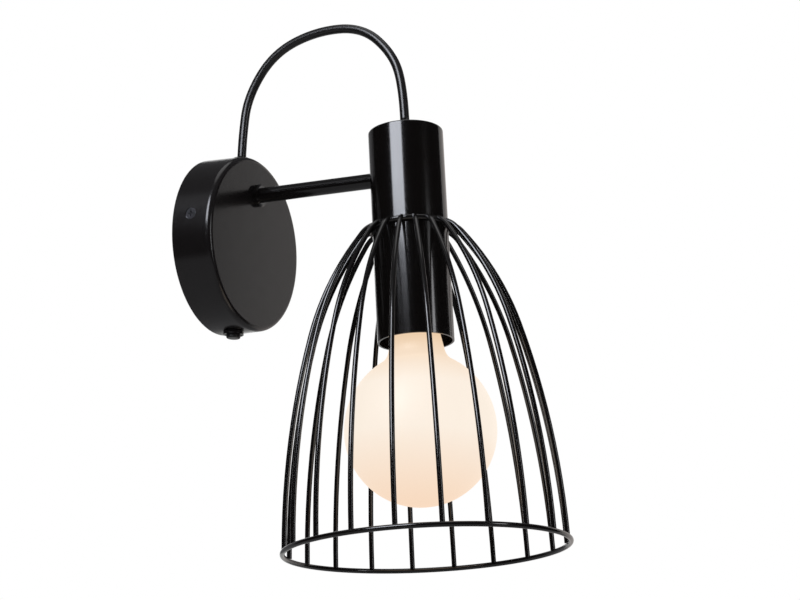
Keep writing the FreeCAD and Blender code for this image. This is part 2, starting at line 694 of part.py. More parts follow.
def arm_ring(label, node, radius, start, width):
    """A round piece on the arm: its start is a distance from the wall."""
    disc = place(cylinder(label + "_disc", radius, width), y="-(%s)" % start, z="arm_height",
                 rotation=OUTWARD)
    hole = place(cylinder(label + "_hole", "arm_radius + fit", "%s + 2 * overcut" % width),
                 y="-(%s) + overcut" % start, z="arm_height", rotation=OUTWARD)
    return subpart(node, cut(label + "_cut", disc, [hole]))


def make_arm_collar():
    """The collar on the canopy's front, with a small chamfer on its outer edge."""
    body = turned("arm_collar_body", [
        ("arm_radius + fit", "-canopy_depth"),
        ("arm_radius + fit", "-canopy_depth - collar_width"),
        ("collar_radius - collar_chamfer", "-canopy_depth - collar_width"),
        ("collar_radius", "-canopy_depth - collar_width + collar_chamfer"),
        ("collar_radius", "-canopy_depth"),
    ], plane="XY_Plane")
    return subpart("arm_collar", place(body, z="arm_height"))


def make_arm_nut():
    """The hexagonal nut that pulls the arm's collar against the canopy."""
    bar = place(hexagon("arm_nut_bar", "arm_nut_flats", "arm_nut_width - fit"),
                y="-arm_nut_face", z="arm_height", rotation=OUTWARD)
    hole = place(cylinder("arm_nut_hole", "arm_radius + fit", "canopy_depth"), z="arm_height",
                 rotation=OUTWARD)
    return subpart("arm_nut", cut("arm_nut_cut", bar, [hole]))


def make_arm_stud():
    """The solid stud on which the head turns, pressed into the arm's end."""
    stud = cylinder("arm_stud_bar", "stud_radius", "arm_end + stud_hold - stud_start")
    return subpart("arm_stud", from_pivot(stud, "stud_start"))


def make_spring_washer():
    """The washer that presses the saddle against the sleeve."""
    disc = from_pivot(cylinder("spring_washer_disc", "spring_washer_radius",
                               "spring_washer_width - fit"), "stud_nut_end + fit")
    hole = from_pivot(cylinder("spring_washer_hole", "stud_radius + fit", "sleeve_radius"), "0")
    return subpart("stud_spring_washer", cut("stud_spring_washer_cut", disc, [hole]))


def make_stud_nut():
    """The nut that sets how hard the head is to turn."""
    bar = from_pivot(hexagon("stud_nut_bar", "stud_nut_flats", "stud_nut_width"),
                     "stud_nut_end - stud_nut_width")
    hole = from_pivot(cylinder("stud_nut_hole", "stud_radius + fit", "sleeve_radius"), "0")
    return subpart("stud_nut", cut("stud_nut_cut", bar, [hole]))


# ---------------------------------------------------------------------------------------------------
# Head: joint, sleeve and nipple

def make_seat_ring():
    """The short ring between arm and sleeve, cut to sit on the sleeve's round side."""
    bar = from_pivot(cylinder("seat_ring_bar", "arm_radius", "seat_end - sleeve_bore"), "sleeve_bore")
    bore = from_pivot(cylinder("seat_ring_bore", "stud_hole", "arm_end"), "sleeve_bore - overcut")
    saddle = hang(cylinder("seat_ring_saddle", "sleeve_radius + fit", "2 * sleeve_top"),
                  "sleeve_top")
    return subpart("seat_ring", cut("seat_ring_cut", bar, [bore, saddle]))


def make_saddle_washer():
    """The washer inside the sleeve: flat towards the nut, round towards the wall of the sleeve."""
    bar = from_pivot(cylinder("saddle_bar", "saddle_radius", "sleeve_radius - saddle_face"),
                     "saddle_face")
    room = hang(cylinder("saddle_room", "sleeve_bore - fit", "2 * sleeve_top"), "sleeve_top")
    bore = from_pivot(cylinder("saddle_bore", "stud_hole", "sleeve_radius"), "saddle_face - overcut")
    return subpart("saddle_washer", cut("saddle_washer_cut", common("saddle_blank", bar, room), [bore]))


def make_sleeve():
    """The tall tube with its closed top, open at its foot."""
    hole = "nipple_radius + turn_gap"
    tube = turned("sleeve_tube", [
        (hole, "top_inside"),
        ("sleeve_bore", "top_inside"),
        ("sleeve_bore", "-sleeve_drop"),
        ("sleeve_radius", "-sleeve_drop"),
        ("sleeve_radius", "sleeve_top - sleeve_edge", "sleeve_edge", LEFT),
        ("sleeve_radius - sleeve_edge", "sleeve_top"),
        (hole, "sleeve_top"),
    ])
    side_hole = along_arm(cylinder("sleeve_side_hole", "stud_hole", "2 * sleeve_radius"))
    return subpart("sleeve", hang(cut("sleeve_cut", tube, [side_hole])))


def make_nipple():
    """The threaded tube that hangs the lampholder from the sleeve's top."""
    tube = turned_ring("head_nipple_tube", "nipple_bore", "nipple_radius", "-nipple_end",
                       "sleeve_top + nipple_rise")
    return subpart("head_nipple", hang(tube))


def make_nipple_nut():
    """The nut under the sleeve's top."""
    bar = place(hexagon("nipple_nut_bar", "nipple_nut_flats", "nipple_nut_width"),
                z="top_inside - nipple_nut_width - fit")
    bore = cylinder("nipple_nut_bore", "nipple_radius + fit", "sleeve_top")
    return subpart("nipple_nut", hang(cut("nipple_nut_cut", bar, [bore])))


def make_cord_grip():
    """The screwed cap on the nipple, with a hole for the cable."""
    nipple_top = "sleeve_top + nipple_rise + fit"
    grip = turned("cord_grip_body", [
        ("nipple_radius + fit", "sleeve_top + fit"),
        ("grip_radius", "sleeve_top + fit"),
        ("grip_radius", "grip_top - sleeve_edge", "sleeve_edge", LEFT),
        ("grip_radius - sleeve_edge", "grip_top"),
        ("cord_hole", "grip_top"),
        ("cord_hole", nipple_top),
        ("nipple_radius + fit", nipple_top),
    ])
    return subpart("cord_grip", hang(grip))


def make_head_cord_tail():
    """The cable inside the nipple, down to the lampholder."""
    length = "grip_top + base_start - 2 * fit"
    return subpart("head_cord_tail",
                   hang(cylinder("head_cord_tail_bar", "cord_radius", length), "base_start - fit"))


# ---------------------------------------------------------------------------------------------------
# Head: lampholder

def make_holder_dome():
    """The lampholder's top: a hub on the nipple, a sloping dome and a straight rim."""
    inner_rim = "holder_radius - holder_wall"
    dome = turned("holder_dome_body", [
        ("nipple_radius + fit", "-holder_drop"),
        ("nipple_radius + fit", "-nipple_end - fit"),
        ("hub_radius", "-nipple_end - fit"),
        (inner_rim, "-dome_shoulder - fit"),
        (inner_rim, "-dome_end"),
        ("holder_radius", "-dome_end"),
        ("holder_radius", "-dome_shoulder"),
        ("hub_radius", "-dome_start"),
        ("hub_radius", "-holder_drop"),
    ])
    return subpart("holder_dome", hang(dome))


def make_holder_base():
    """The insulating disc that carries the contacts."""
    disc = turned("holder_base_body", [
        ("0", "-base_start"),
        ("0", "-base_end"),
        ("holder_radius - holder_wall - fit", "-base_end"),
        ("holder_radius - holder_wall - fit", "-base_start"),
    ])
    return subpart("holder_base", hang(disc))


def make_holder_skirt():
    """The outer tube of the lampholder, with an inward lip at its foot."""
    inner = "holder_radius - holder_wall"
    lip = "thread_radius + thread_wall + thread_room"
    skirt = turned("holder_skirt_body", [
        (inner, "-dome_end - fit"),
        (inner, "-skirt_end + skirt_lip"),
        (lip, "-skirt_end + skirt_lip"),
        (lip, "-skirt_end"),
        ("holder_radius", "-skirt_end"),
        ("holder_radius", "-dome_end - fit"),
    ])
    return subpart("holder_skirt", hang(skirt))


def make_thread_shell():
    """The metal shell that the bulb screws into."""
    shell = turned_ring("thread_shell_body", "thread_radius", "thread_radius + thread_wall",
                        "-base_end - thread_length", "-base_end - fit")
    return subpart("thread_shell", hang(shell))


def make_centre_contact():
    """The contact in the middle of the base."""
    disc = cylinder("centre_contact_disc", "contact_radius", "contact_height - fit")
    return subpart("centre_contact", hang(disc, "base_end + contact_height"))


# ---------------------------------------------------------------------------------------------------
# Head: bulb

def globe_side(offset):
    """Half of the globe's outline, from the bottom to the neck's top, moved inwards by an offset.

    The lower half is a quarter circle. The upper half is an arc about a centre across the axis, then a
    hollow arc that touches both that arc and the straight, tapering neck.
    """
    slope = math.radians(number("neck_slope"))
    outward = Vector(math.cos(slope), math.sin(slope), 0)
    upward = Vector(-math.sin(slope), math.cos(slope), 0)
    foot = Vector(number("neck_radius"), number("neck_foot"), 0)
    ball = number("globe_radius")
    shoulder = number("shoulder_radius")
    fillet = number("neck_fillet")
    centre = Vector(ball - shoulder, 0, 0)
    # the hollow's centre lies one fillet radius outside the neck and outside the shoulder's arc
    start = foot + outward * fillet - centre
    along = -start.dot(upward)
    along -= math.sqrt(along ** 2 - start.dot(start) + (shoulder + fillet) ** 2)
    if along + start.dot(upward) < 0:
        along = 2 * -start.dot(upward) - along
    hollow = foot + outward * fillet + upward * along
    towards = (hollow - centre).normalize()
    shoulder_end = centre + towards * (shoulder - offset)
    shoulder_angle = math.atan2(towards.y, towards.x)
    shoulder_middle = centre + Vector(math.cos(shoulder_angle / 2), math.sin(shoulder_angle / 2), 0) \
        * (shoulder - offset)
    neck_start = hollow - outward * (fillet + offset)
    bisector = ((neck_start - hollow).normalize() + (shoulder_end - hollow).normalize()).normalize()
    hollow_middle = hollow + bisector * (fillet + offset)
    rise = (number("neck_top") - offset - neck_start.y) / upward.y
    neck_end = neck_start + upward * rise
    diagonal = Vector(math.sqrt(0.5), -math.sqrt(0.5), 0) * (ball - offset)
    return [
        Part.Arc(Vector(0, offset - ball, 0), diagonal, Vector(ball - offset, 0, 0)),
        Part.Arc(Vector(ball - offset, 0, 0), shoulder_middle, shoulder_end),
        Part.Arc(shoulder_end, hollow_middle, neck_start),
        Part.LineSegment(neck_start, neck_end),
    ], neck_end


def make_bulb_globe():
    """The opal glass: a hollow globe with a neck that closes in at the cap."""
    outer, outer_end = globe_side(0)
    inner, inner_end = globe_side(number("glass_wall"))
    cap = Vector(number("cap_radius"), number("cap_start") - number("fit"), 0)
    cap_inside = cap - Vector(number("glass_wall"), 0, 0)
    closing = [
        Part.LineSegment(outer_end, cap),
        Part.LineSegment(cap, cap_inside),
        Part.LineSegment(cap_inside, inner_end),
        Part.LineSegment(inner[0].StartPoint, outer[0].StartPoint),
    ]
    edges = [curve.toShape() for curve in outer + inner + closing]
    face = Part.Face(Part.Wire(Part.__sortEdges__(edges)))
    face.rotate(Vector(), X_AXIS, 90)
    glass = face.revolve(Vector(), Z_AXIS, 360)
    return subpart("bulb_globe", hang(set_shape("bulb_globe_shape", glass), "globe_drop"))


def make_bulb_cap():
    """The screw cap, closed towards the insulator."""
    cap = turned("bulb_cap_body", [
        ("cap_radius - cap_wall", "-cap_foot"),
        ("cap_radius", "-cap_foot"),
        ("cap_radius", "-cap_end - cap_shoulder"),
        ("insulator_radius", "-cap_end"),
        ("0", "-cap_end"),
        ("0", "-cap_end - cap_wall"),
        ("insulator_radius - cap_wall", "-cap_end - cap_wall"),
        ("cap_radius - cap_wall", "-cap_end - cap_shoulder - cap_wall"),
    ])
    return subpart("bulb_cap", hang(cap))


def make_bulb_insulator():
    """The glass cone between the cap and the end contact."""
    cone = primitive("Cone", "bulb_insulator_cone", Radius1="insulator_radius",
                     Radius2="insulator_tip", Height="insulator_height - fit")
    return subpart("bulb_insulator", hang(cone, "cap_end - fit"))


def make_bulb_contact():
    """The end contact, up against the lampholder's."""
    disc = cylinder("bulb_contact_disc", "bulb_contact_radius", "insulator_end - bulb_tip - fit")
    return subpart("bulb_contact", hang(disc, "insulator_end - fit"))


# ---------------------------------------------------------------------------------------------------
# Head: cage

def cage_ring(label, node, radius, drop):
    """One of the two round wires that the long wires are welded to."""
    return subpart(node, hang(primitive("Torus", label, Radius1=radius, Radius2="wire_radius"), drop))


def heading(slope):
    """The direction of a wire that runs down at a slope, as distance from the axis and height."""
    return Vector(math.cos(math.radians(slope)), 0, -math.sin(math.radians(slope)))


def arc_step(from_slope, to_slope):
    """How far an arc of radius 1 goes as its slope changes."""
    first, last = math.radians(from_slope), math.radians(to_slope)
    return Vector(math.sin(last) - math.sin(first), 0, math.cos(last) - math.cos(first))


def wire_midline():
    """One wire: a short lead out of the top ring, a tight shoulder and two long arcs to the bottom ring.

    The slopes and the shoulder's radius are given. The radii of the two long arcs follow from the
    place where the wire lands.
    """
    slopes = [number(name) for name in ("start_slope", "shoulder_slope", "waist_slope", "foot_slope")]
    start = Vector(number("top_ring_radius + wire_radius"), 0, -number("top_ring_drop"))
    landing = Vector(number("ring_radius - wire_inset"), 0, number("wire_lap - ring_drop"))
    shoulder = number("shoulder_bend")
    steps = [arc_step(*pair) for pair in zip(slopes, slopes[1:])]
    left = landing - start - steps[0] * shoulder
    divisor = steps[1].x * steps[2].z - steps[1].z * steps[2].x
    upper = (left.x * steps[2].z - left.z * steps[2].x) / divisor
    lower = (steps[1].x * left.z - steps[1].z * left.x) / divisor
    print("cage wire radii: %.1f, %.1f and %.1f" % (shoulder, upper, lower))

    lead = start - heading(slopes[0]) * number("wire_radius")
    edges = [Part.LineSegment(lead, start).toShape()]
    point = start
    for radius, pair in zip((shoulder, upper, lower), zip(slopes, slopes[1:])):
        middle = point + arc_step(pair[0], sum(pair) / 2) * radius
        end = point + arc_step(*pair) * radius
        edges.append(Part.Arc(point, middle, end).toShape())
        point = end
    return Part.Wire(edges), lead, heading(slopes[0])


def make_cage_wires():
    """The bell of wires, each cut to sit on both rings."""
    midline, start, direction = wire_midline()
    section = Part.Wire(Part.makeCircle(number("wire_radius"), start, direction))
    wire = midline.makePipeShell([section], True, False)
    ring_wire = number("wire_radius + fit")
    top = Part.makeTorus(number("top_ring_radius"), ring_wire, Vector(0, 0, -number("top_ring_drop")))
    bottom = Part.makeTorus(number("ring_radius"), ring_wire, Vector(0, 0, -number("ring_drop")))
    wire = wire.cut([top, bottom])
    wire = max(wire.Solids, key=lambda solid: solid.Volume)
    wire.rotate(Vector(), Z_AXIS, number("wire_turn") - 90)
    count = round(number("wire_count"))
    copies = []
    for index in range(count):
        copy = wire.copy()
        copy.rotate(Vector(), Z_AXIS, index * 360 / count)
        copies.append(copy)
    return subpart("cage_wires", hang(set_shape("cage_wires_shape", Part.makeCompound(copies))))


# ---------------------------------------------------------------------------------------------------
# Cable

def cable(label, points, radius):
    """A round cable along straight runs joined by tangent arcs."""
    edges = []
    position = points[0]
    bends = []
    for before, corner, after in zip(points, points[1:], points[2:]):
        inward = (corner - before).normalize()
        outward = (after - corner).normalize()
        turn = inward.getAngle(outward)
        setback = ARC_SHARE * min((corner - before).Length, (after - corner).Length)
        bend = setback / math.tan(turn / 2)
        bends.append(round(bend, 1))
        arc_start = corner - inward * setback
        arc_end = corner + outward * setback
        centre = arc_start + (outward - inward * inward.dot(outward)).normalize() * bend
        arc_middle = centre + (corner - centre).normalize() * bend
        edges.append(Part.LineSegment(position, arc_start).toShape())
        edges.append(Part.Arc(arc_start, arc_middle, arc_end).toShape())
        position = arc_end
    edges.append(Part.LineSegment(position, points[-1]).toShape())
    midline = Part.Wire(edges)
    section = Part.Wire(Part.makeCircle(radius, points[0], points[1] - points[0]))
    solid = midline.makePipeShell([section], True, False)
    expected = math.pi * radius ** 2 * midline.Length
    print("%s: length %.1f, bend radii %s, volume %.1f of %.1f"
          % (label, midline.Length, bends, solid.Volume, expected))
    if abs(solid.Volume / expected - 1) > 0.001:
        raise RuntimeError(label + " has the wrong volume")
    return solid


def head_point(height):
    """A point on the head's axis, in the light's frame."""
    lean = math.radians(number("head_lean"))
    return Vector(0, -number("reach") + height * math.sin(lean),
                  number("arm_height") + height * math.cos(lean))


def make_cord():
    """The free arch of cable from the bush to the grip."""
    start = Vector(0, -number("bush_depth"), number("bush_top"))
    route = [Vector(0, y, z) for y, z in CORD_ROUTE]
    solid = cable("cord", [start] + route + [head_point(number("grip_top"))], number("cord_radius"))
    return subpart("cord", set_shape("cord_shape", solid))


def make_canopy_cord_tail():
    """The cable from the bush down to the terminal block, behind the arm's end."""
    depth = -number("bush_depth")
    tail_depth = -number("tail_depth")
    upper_bend, lower_bend = TAIL_BENDS
    points = [
        Vector(0, depth, number("bush_top")),
        Vector(0, depth, upper_bend),
        Vector(0, tail_depth, lower_bend),
        Vector(0, tail_depth, number("block_height / 2 - block_drop + fit")),
    ]
    return subpart("canopy_cord_tail",
                   set_shape("canopy_cord_tail_shape",
                             cable("canopy_cord_tail", points, number("cord_radius"))))


def make_cord_bush():
    """The low bush that snaps into the canopy's top, with a groove for the sheet."""
    bush = turned("cord_bush_body", [
        ("cord_hole", "bush_under - bush_lip"),
        ("bush_flange", "bush_under - bush_lip"),
        ("bush_flange", "bush_under"),
        ("bush_neck", "bush_under"),
        ("bush_neck", "bush_seat"),
        ("bush_flange", "bush_seat"),
        ("bush_flange", "bush_top - bush_edge", "bush_edge", LEFT),
        ("bush_flange - bush_edge", "bush_top"),
        ("cord_hole", "bush_top"),
    ])
    return subpart("cord_bush", place(bush, y="-bush_depth"))


# ---------------------------------------------------------------------------------------------------
# Switch in the canopy's foot

def at_switch(label, thing):
    return subpart(label, place(thing, y="-switch_depth"))


def make_switch_body():
    """The push switch: a round body with a chamber for the spring and a bush through the canopy."""
    bore = "button_radius + turn_gap"
    return at_switch("switch_body", turned("switch_body_turned", [
        (bore, "-bezel_end + bezel_show"),
        ("switch_bush", "-bezel_end + bezel_show"),
        ("switch_bush", "-switch_under"),
        ("switch_radius", "-switch_under"),
        ("switch_radius", "-switch_start"),
        ("0", "-switch_start"),
        ("0", "-chamber_ceiling"),
        ("chamber_radius", "-chamber_ceiling"),
        ("chamber_radius", "-chamber_floor"),
        (bore, "-chamber_floor"),
    ]))


def make_switch_nut():
    """The ring nut outside the canopy."""
    return at_switch("switch_nut", turned_ring("switch_nut_turned", "switch_bush + fit",
                                               "bezel_radius", "-bezel_end", "-switch_seat"))


def make_switch_button():
    """The button: a plunger with a domed edge and a flange that stops it in the chamber."""
    return at_switch("switch_button", turned("switch_button_turned", [
        ("0", "-button_end"),
        ("button_radius - button_edge", "-button_end", "button_edge", LEFT),
        ("button_radius", "-button_end + button_edge"),
        ("button_radius", "-flange_floor"),
        ("button_flange", "-flange_floor"),
        ("button_flange", "-flange_ceiling"),
        ("0", "-flange_ceiling"),
    ]))


def make_switch_spring():
    """The spring between the button's flange and the chamber's ceiling, as a thin sleeve."""
    return at_switch("switch_spring", turned_ring("switch_spring_turned",
                                                  "spring_radius - spring_wire", "spring_radius",
                                                  "-flange_ceiling + fit", "-chamber_ceiling - fit"))


def make_switch_leads():
    """Two insulated wires from the switch up into the terminal block."""
    block_foot = "block_drop + block_height / 2"
    leads = []
    for side in ("-", "+"):
        lead = cylinder("switch_lead", "lead_radius",
                        "switch_start - %s + lead_hold - fit" % block_foot)
        leads.append(place(lead, x="%s pole_pitch / 2" % side, y="-pole_depth",
                           z="-switch_start + fit"))
    return subpart("switch_leads", grouped("switch_lead_pair", leads))


# ---------------------------------------------------------------------------------------------------
# The whole light

def make_light():
    make_canopy_shell()
    make_wall_bracket()
    make_canopy_screws()
    make_earth_screw()
    make_terminal_block()
    make_terminal_screws()
    make_block_screw()

    make_arm_tube()
    make_arm_collar()
    arm_ring("arm_washer", "arm_washer", "arm_washer_radius", "arm_washer_face + fit",
             "arm_washer_width - fit")
    make_arm_nut()
    make_arm_stud()
    make_spring_washer()
    make_stud_nut()

    make_seat_ring()
    make_saddle_washer()
    make_sleeve()
    make_nipple()
    make_nipple_nut()
    make_cord_grip()
    make_head_cord_tail()

    make_holder_dome()
    make_holder_base()
    make_holder_skirt()
    make_thread_shell()
    make_centre_contact()

    make_bulb_globe()
    make_bulb_cap()
    make_bulb_insulator()
    make_bulb_contact()

    cage_ring("cage_top_ring_torus", "cage_top_ring", "top_ring_radius", "top_ring_drop")
    cage_ring("cage_bottom_ring_torus", "cage_bottom_ring", "ring_radius", "ring_drop")
    make_cage_wires()

    make_cord()
    make_canopy_cord_tail()
    make_cord_bush()

    make_switch_body()
    make_switch_nut()
    make_switch_button()
    make_switch_spring()
    make_switch_leads()


def check_document():
    """Stop if any object failed or any piece has no sound shape."""
    for thing in doc.Objects:
        if "Invalid" in thing.State or "Error" in thing.State:
            raise RuntimeError("%s failed: %s" % (thing.Label, thing.State))
    for piece in SUBPARTS:
        if piece.Shape.isNull() or not piece.Shape.isValid() or piece.Shape.Volume <= 0:
            raise RuntimeError(piece.Label + " has no sound shape")


def write_pieces():
    """One file for each piece, named after it."""
    os.makedirs("parts", exist_ok=True)
    for piece in SUBPARTS:
        piece.Shape.exportStep("parts/%s.step" % piece.Label)
    print("%d pieces written" % len(SUBPARTS))


make_light()
doc.removeObject("scratch")
doc.recompute()
check_document()
write_pieces()
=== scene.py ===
import math

import bmesh
import bpy
from mathutils import Matrix, Vector


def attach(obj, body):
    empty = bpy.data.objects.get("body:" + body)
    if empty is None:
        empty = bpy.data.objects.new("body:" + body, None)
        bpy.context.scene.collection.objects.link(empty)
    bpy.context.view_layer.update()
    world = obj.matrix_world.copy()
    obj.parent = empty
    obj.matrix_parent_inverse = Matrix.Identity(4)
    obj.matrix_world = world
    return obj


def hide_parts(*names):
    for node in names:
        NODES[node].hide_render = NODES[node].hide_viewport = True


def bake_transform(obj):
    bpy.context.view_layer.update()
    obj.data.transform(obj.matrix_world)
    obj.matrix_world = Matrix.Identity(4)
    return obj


bl_info = {
    "name": "Cage Wall Light",
    "version": (1, 0, 0),
    "blender": (4, 5, 0),
    "location": "View3D > Sidebar > Wall Light",
    "description": "Dresses the cage wall light: cable, bulb, finishes, camera and studio",
    "category": "Object",
}

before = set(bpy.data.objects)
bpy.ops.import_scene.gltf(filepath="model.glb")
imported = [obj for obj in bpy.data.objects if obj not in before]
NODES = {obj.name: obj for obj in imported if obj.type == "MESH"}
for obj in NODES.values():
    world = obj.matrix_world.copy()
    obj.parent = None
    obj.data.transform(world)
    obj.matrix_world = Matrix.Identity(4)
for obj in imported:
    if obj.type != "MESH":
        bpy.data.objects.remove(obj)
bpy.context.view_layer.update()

MM = 0.001
LEAN = math.radians(4.2)
PIVOT = Vector((0, -139, 33)) * MM

# The head's own frame: origin at the pivot, z along the sleeve
HEAD = Matrix.Translation(PIVOT) @ Matrix.Rotation(-LEAN, 4, "X")


def colour(code):
    """An sRGB hex colour as linear red, green, blue and alpha."""
    channels = [int(code[place:place + 2], 16) / 255 for place in (1, 3, 5)]
    linear = [c / 12.92 if c <= 0.04045 else ((c + 0.055) / 1.055) ** 2.4 for c in channels]
    return (*linear, 1.0)


# ---------------------------------------------------------------------------------------------------
# Settings


def tint(name, code, description):
    """A colour that a user can change."""
    return bpy.props.FloatVectorProperty(name=name, description=description, subtype="COLOR", size=4,
                                         min=0, max=1, default=colour(code))


class CableSettings(bpy.types.PropertyGroup):
    radius: bpy.props.FloatProperty(name="Radius", description="Radius of the cable's sheath",
                                    default=3 * MM, min=0.001, unit="LENGTH")
    sheath: tint("Sheath", "#151415", "Colour of the smooth PVC sheath")


class BulbSettings(bpy.types.PropertyGroup):
    radius: bpy.props.FloatProperty(name="Globe Radius", description="Radius of the globe's lower half",
                                    default=47.5 * MM, min=0.01, unit="LENGTH")
    drop: bpy.props.FloatProperty(name="Drop", description="Centre of the globe below the arm's axis",
                                  default=166.8 * MM, min=0.01, unit="LENGTH")
    glow: tint("Glow", "#fff2e3", "Colour of the lit opal glass at its middle")
    low_glow: tint("Low Glow", "#fbdcc0", "Colour of the lit glass at its bottom")
    warm_glow: tint("Warm Glow", "#f3cfa6", "Colour of the lit glass at the neck")
    strength: bpy.props.FloatProperty(name="Strength", description="How strongly the glass glows",
                                      default=0.91, min=0)


class FinishSettings(bpy.types.PropertyGroup):
    coat: tint("Powder Coat", "#131112", "Black powder coat on the canopy and the switch's nut")
    lacquer: tint("Gloss Lacquer", "#0b0909", "Black gloss lacquer on the sleeve, arm and cage")
    black_zinc: tint("Black Zinc", "#5c5c5f", "Blackened zinc plating on the canopy's side screws")
    zinc: tint("Zinc", "#b9bab8", "Zinc plating on the bracket and the inner hardware")
    brass: tint("Brass", "#c9a45c", "Brass of the contacts and clamping screws")
    plastic: tint("Black Plastic", "#191919", "Moulded plastic of the switch, bush and lampholder")
    nylon: tint("Nylon", "#e4e2da", "Natural nylon of the terminal block")
    ceramic: tint("Ceramic", "#e9e5da", "Glazed ceramic of the lampholder's base")
    nickel: tint("Nickel", "#c9c6c0", "Nickel plating of the bulb's cap")
    vitrite: tint("Vitrite", "#141414", "Black moulded glass that insulates the bulb's cap")


class StudioSettings(bpy.types.PropertyGroup):
    lens: bpy.props.FloatProperty(name="Lens", description="Focal length of the camera",
                                  default=91.764, min=1, unit="CAMERA")
    key_power: bpy.props.FloatProperty(name="Key Power", description="Power of the main soft box",
                                       default=7.5, min=0, unit="POWER")
    fill_power: bpy.props.FloatProperty(name="Fill Power", description="Power of each other soft box",
                                        default=4.5, min=0, unit="POWER")
    room: bpy.props.FloatProperty(name="Room Light", description="Strength of the room's soft light",
                                  default=0.55, min=0)


class WallLightSettings(bpy.types.PropertyGroup):
    cable: bpy.props.PointerProperty(type=CableSettings)
    bulb: bpy.props.PointerProperty(type=BulbSettings)
    finish: bpy.props.PointerProperty(type=FinishSettings)
    studio: bpy.props.PointerProperty(type=StudioSettings)


# ---------------------------------------------------------------------------------------------------
# Materials


def add(tree, kind, settings=None, links=None):
    """Add a node, set its sockets and attributes, and link sockets of other nodes into it."""
    node = tree.nodes.new(kind)
    for name, value in (settings or {}).items():
        if isinstance(name, int) or name in node.inputs:
            node.inputs[name].default_value = value
        else:
            setattr(node, name, value)
    for name, source in (links or {}).items():
        tree.links.new(source, node.inputs[name])
    return node


def new_material(name):
    """An empty node material, with its tree, its output and its object coordinates."""
    material = bpy.data.materials.new(name)
    material.use_nodes = True
    tree = material.node_tree
    tree.nodes.clear()
    output = add(tree, "ShaderNodeOutputMaterial")
    place = add(tree, "ShaderNodeTexCoord")
    return material, tree, output, place.outputs["Object"]


def cloud(tree, place, grain, detail):
    """Soft patches of a given size in metres, as a factor."""
    noise = add(tree, "ShaderNodeTexNoise", {"Scale": 1 / grain, "Detail": detail}, {"Vector": place})
    return noise.outputs["Fac"]


def clouded_colour(tree, place, base, grain, low, high):
    """A colour that wanders between a darker and a lighter tone of its own."""
    dark, light = [tuple(channel * factor for channel in base[:3]) + (1.0,)
                   for factor in (low, high)]
    return add(tree, "ShaderNodeMix", {"data_type": "RGBA", 6: dark, 7: light},
               {"Factor": cloud(tree, place, grain, 3.0)}).outputs[2]


def clouded_roughness(tree, place, grain, low, high):
    """A roughness that wanders between two values."""
    return add(tree, "ShaderNodeMapRange", {"To Min": low, "To Max": high},
               {"Value": cloud(tree, place, grain, 4.0)}).outputs["Result"]


def ripple(tree, place, grain, height, detail):
    """A bump of soft ripples of a given size and height in metres."""
    return add(tree, "ShaderNodeBump", {"Strength": 1.0, "Distance": height},
               {"Height": cloud(tree, place, grain, detail)}).outputs["Normal"]


def surface(name, base, tones, sheen, skin, shading):
    """A finish whose colour, roughness and bump all wander.

    tones is (grain, darkest, lightest), sheen is (grain, smoothest, roughest) and skin is (grain,
    height, detail). Grains and heights are in metres.
    """
    material, tree, output, place = new_material(name)
    shader = add(tree, "ShaderNodeBsdfPrincipled", shading,
                 {"Base Color": clouded_colour(tree, place, base, *tones),
                  "Roughness": clouded_roughness(tree, place, *sheen),
                  "Normal": ripple(tree, place, *skin)})
    tree.links.new(shader.outputs[0], output.inputs[0])
    return material


def powder_coat(base):
    """Black powder coat on steel, sprayed and baked: a fine orange peel and a broad soft gloss."""
    return surface("Black Powder Coat", base, (6 * MM, 0.85, 1.15), (8 * MM, 0.17, 0.23),
                   (1.2 * MM, 0.006 * MM, 2.0), {"IOR": 1.5})


def gloss_lacquer(base):
    """Black gloss lacquer on tube and wire: sharp highlights that waver a little."""
    return surface("Black Gloss Lacquer", base, (10 * MM, 0.9, 1.1), (12 * MM, 0.13, 0.18),
                   (3 * MM, 0.006 * MM, 0.0),
                   {"IOR": 1.5, "Coat Weight": 0.3, "Coat Roughness": 0.05})


def pvc_sheath(base):
    """Extruded black PVC: smooth and slightly waxy, with shallow waves."""
    return surface("Extruded PVC Sheath", base, (5 * MM, 0.8, 1.3), (6 * MM, 0.24, 0.32),
                   (4 * MM, 0.01 * MM, 0.0), {"IOR": 1.53})


def plated_metal(name, base, grain, low, high):
    """Plated or bare metal: a patchy sheen over a fine tooth."""
    return surface(name, base, (grain, 0.85, 1.1), (grain / 2, low, high),
                   (0.8 * MM, 0.01 * MM, 4.0), {"Metallic": 1.0})


def moulded(name, base, low, high, ior=1.5):
    """A moulded or glazed piece: nearly one colour, with a faint flow pattern in its gloss."""
    return surface(name, base, (7 * MM, 0.93, 1.05), (5 * MM, low, high),
                   (1.5 * MM, 0.01 * MM, 2.0), {"IOR": ior})


# Heights about the globe's centre between which the glow turns warmer: up to the neck, and down to
# the globe's foot
NECK_GLOW = (25 * MM, 66 * MM)
FOOT_GLOW = (-5 * MM, -47 * MM)
UNLIT_GLASS = "#4a4540"


def share_of(tree, value, span):
    """How far a value lies along a span, from 0 to 1."""
    return add(tree, "ShaderNodeMapRange", {"From Min": span[0], "From Max": span[1]},
               {"Value": value}).outputs["Result"]


